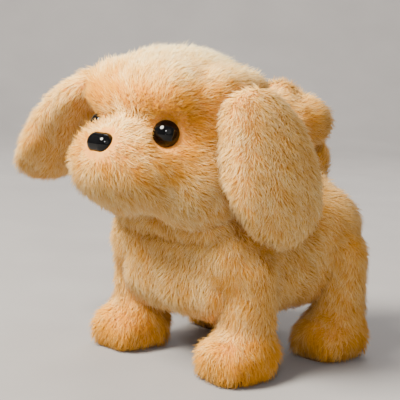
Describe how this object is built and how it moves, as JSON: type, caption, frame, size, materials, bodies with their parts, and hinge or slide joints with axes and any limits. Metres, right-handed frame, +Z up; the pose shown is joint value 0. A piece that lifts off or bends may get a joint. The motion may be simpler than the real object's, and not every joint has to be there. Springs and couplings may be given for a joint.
{
  "type": "walking plush puppy",
  "caption": "Standing plush puppy toy with floppy ears and curled tail; walks on four swinging legs, nods and wags.",
  "frame": {"origin": "middle of the footprint of the four paws, on the floor", "axes": "+Z up, the puppy faces -Y, its left side is +X"},
  "size_m": [0.214, 0.1942, 0.188],
  "materials": {
    "plush": "matte",
    "sole": "matte",
    "white_plastic": "matte",
    "gear_plastic": "satin",
    "black_gloss": "gloss",
    "clear_washer": "satin",
    "steel": "satin",
    "battery_wrap": "gloss",
    "circuit": "matte",
    "speaker_black": "matte",
    "contact": "satin"
  },
  "bodies": {
    "torso": {"chassis_left": "white_plastic", "chassis_right": "white_plastic", "chassis_screws": "steel", "gear_plate": "white_plastic", "gear_a_pin": "steel", "gear_b_pin": "steel", "front_axle": "steel", "rear_axle": "steel", "axle_caps": "white_plastic", "battery_box": "white_plastic", "battery_left": "battery_wrap", "battery_right": "battery_wrap", "contact_front": "contact", "contact_rear": "contact", "motor_can": "steel", "circuit_board": "circuit", "speaker": "speaker_black", "switch_housing": "white_plastic", "back_plush": "plush", "belly_plush": "plush"},
    "crank": {"crank_shaft": "steel", "crank_left": "gear_plastic", "crank_right": "gear_plastic", "output_gear": "gear_plastic"},
    "gear_b": {"gear_b": "gear_plastic"},
    "gear_a": {"gear_a": "gear_plastic"},
    "rotor": {"motor_rotor": "steel"},
    "leg_front_left": {"leg_frame_front_left": "white_plastic", "leg_sole_front_left": "sole", "leg_plush_front_left": "plush"},
    "leg_front_right": {"leg_frame_front_right": "white_plastic", "leg_sole_front_right": "sole", "leg_plush_front_right": "plush"},
    "leg_rear_left": {"leg_frame_rear_left": "white_plastic", "leg_sole_rear_left": "sole", "leg_plush_rear_left": "plush"},
    "leg_rear_right": {"leg_frame_rear_right": "white_plastic", "leg_sole_rear_right": "sole", "leg_plush_rear_right": "plush"},
    "bar_left": {"bar_left": "gear_plastic"},
    "bar_right": {"bar_right": "gear_plastic"},
    "head": {"neck_yoke": "white_plastic", "head_shell_front": "white_plastic", "head_shell_rear": "white_plastic", "head_screws": "steel", "eye_left": "black_gloss", "eye_right": "black_gloss", "eye_washers": "clear_washer", "nose": "black_gloss", "nose_washer": "clear_washer", "head_plush": "plush"},
    "ear_left": {"ear_left": "plush"},
    "ear_right": {"ear_right": "plush"},
    "tail": {"tail_crank": "white_plastic", "tail_core": "white_plastic", "tail_plush": "plush"},
    "switch": {"switch_knob": "black_gloss"},
    "battery_door": {"battery_door": "white_plastic", "door_screw": "steel"}
  },
  "joints": [
    {"name": "walk_swing", "type": "hinge", "parent": "torso", "child": "leg_front_left", "pos_m": [0, -0.043, 0.084], "axis": [1, 0, 0], "range_deg": [-12, 12]},
    {"name": "front_right_swing", "type": "hinge", "parent": "torso", "child": "leg_front_right", "pos_m": [0, -0.043, 0.084], "axis": [1, 0, 0], "range_deg": [-12, 12]},
    {"name": "rear_left_swing", "type": "hinge", "parent": "torso", "child": "leg_rear_left", "pos_m": [0, 0.043, 0.084], "axis": [1, 0, 0], "range_deg": [-12, 12]},
    {"name": "rear_right_swing", "type": "hinge", "parent": "torso", "child": "leg_rear_right", "pos_m": [0, 0.043, 0.084], "axis": [1, 0, 0], "range_deg": [-12, 12]},
    {"name": "left_bar_pivot", "type": "hinge", "parent": "leg_front_left", "child": "bar_left", "pos_m": [0, -0.043, 0.064], "axis": [1, 0, 0], "range_deg": [-12, 12]},
    {"name": "right_bar_pivot", "type": "hinge", "parent": "leg_front_right", "child": "bar_right", "pos_m": [0, -0.043, 0.064], "axis": [1, 0, 0], "range_deg": [-12, 12]},
    {"name": "head_nod", "type": "hinge", "parent": "torso", "child": "head", "pos_m": [0, -0.032, 0.102], "axis": [1, 0, 0], "range_deg": [-6.5, 6.5]},
    {"name": "tail_wag", "type": "hinge", "parent": "torso", "child": "tail", "pos_m": [0, 0.0555, 0.0725], "axis": [0, 0, 1], "range_deg": [-8.5, 8.5]},
    {"name": "motor_spin", "type": "hinge", "parent": "torso", "child": "rotor", "pos_m": [0, 0.03034, 0.09509], "axis": [1, 0, 0], "continuous": true},
    {"name": "gear_a_spin", "type": "hinge", "parent": "torso", "child": "gear_a", "pos_m": [0, 0.01859, 0.09081], "axis": [1, 0, 0], "continuous": true},
    {"name": "gear_b_spin", "type": "hinge", "parent": "torso", "child": "gear_b", "pos_m": [0, 0.02076, 0.0785], "axis": [1, 0, 0], "continuous": true},
    {"name": "crank_spin", "type": "hinge", "parent": "torso", "child": "crank", "pos_m": [0, 0.014, 0.064], "axis": [1, 0, 0], "continuous": true},
    {"name": "left_ear_flap", "type": "hinge", "parent": "head", "child": "ear_left", "pos_m": [0.055, -0.058, 0.171], "axis": [0, -1, 0], "range_deg": [-3, 45], "stiffness_Nm_per_rad": 0.06},
    {"name": "right_ear_flap", "type": "hinge", "parent": "head", "child": "ear_right", "pos_m": [-0.055, -0.058, 0.171], "axis": [0, 1, 0], "range_deg": [-33, 15], "stiffness_Nm_per_rad": 0.06},
    {"name": "power_switch", "type": "slide", "parent": "torso", "child": "switch", "axis": [0, 1, 0], "range_m": [0, 0.004]},
    {"name": "battery_door_off", "type": "slide", "parent": "torso", "child": "battery_door", "axis": [0, 0, -1], "range_m": [0, 0.03]}
  ],
  "couplings": [
    {"joint": "front_right_swing", "follows": "walk_swing", "ratio": -1},
    {"joint": "rear_left_swing", "follows": "walk_swing", "ratio": 1},
    {"joint": "rear_right_swing", "follows": "walk_swing", "ratio": -1},
    {"joint": "left_bar_pivot", "follows": "walk_swing", "ratio": -1},
    {"joint": "right_bar_pivot", "follows": "walk_swing", "ratio": 1},
    {"joint": "head_nod", "follows": "walk_swing", "ratio": 0.5263},
    {"joint": "tail_wag", "follows": "walk_swing", "ratio": 0.6733},
    {"joint": "gear_a_spin", "follows": "motor_spin", "ratio": -0.25},
    {"joint": "gear_b_spin", "follows": "motor_spin", "ratio": 0.0625},
    {"joint": "crank_spin", "follows": "motor_spin", "ratio": -0.011574}
  ]
}
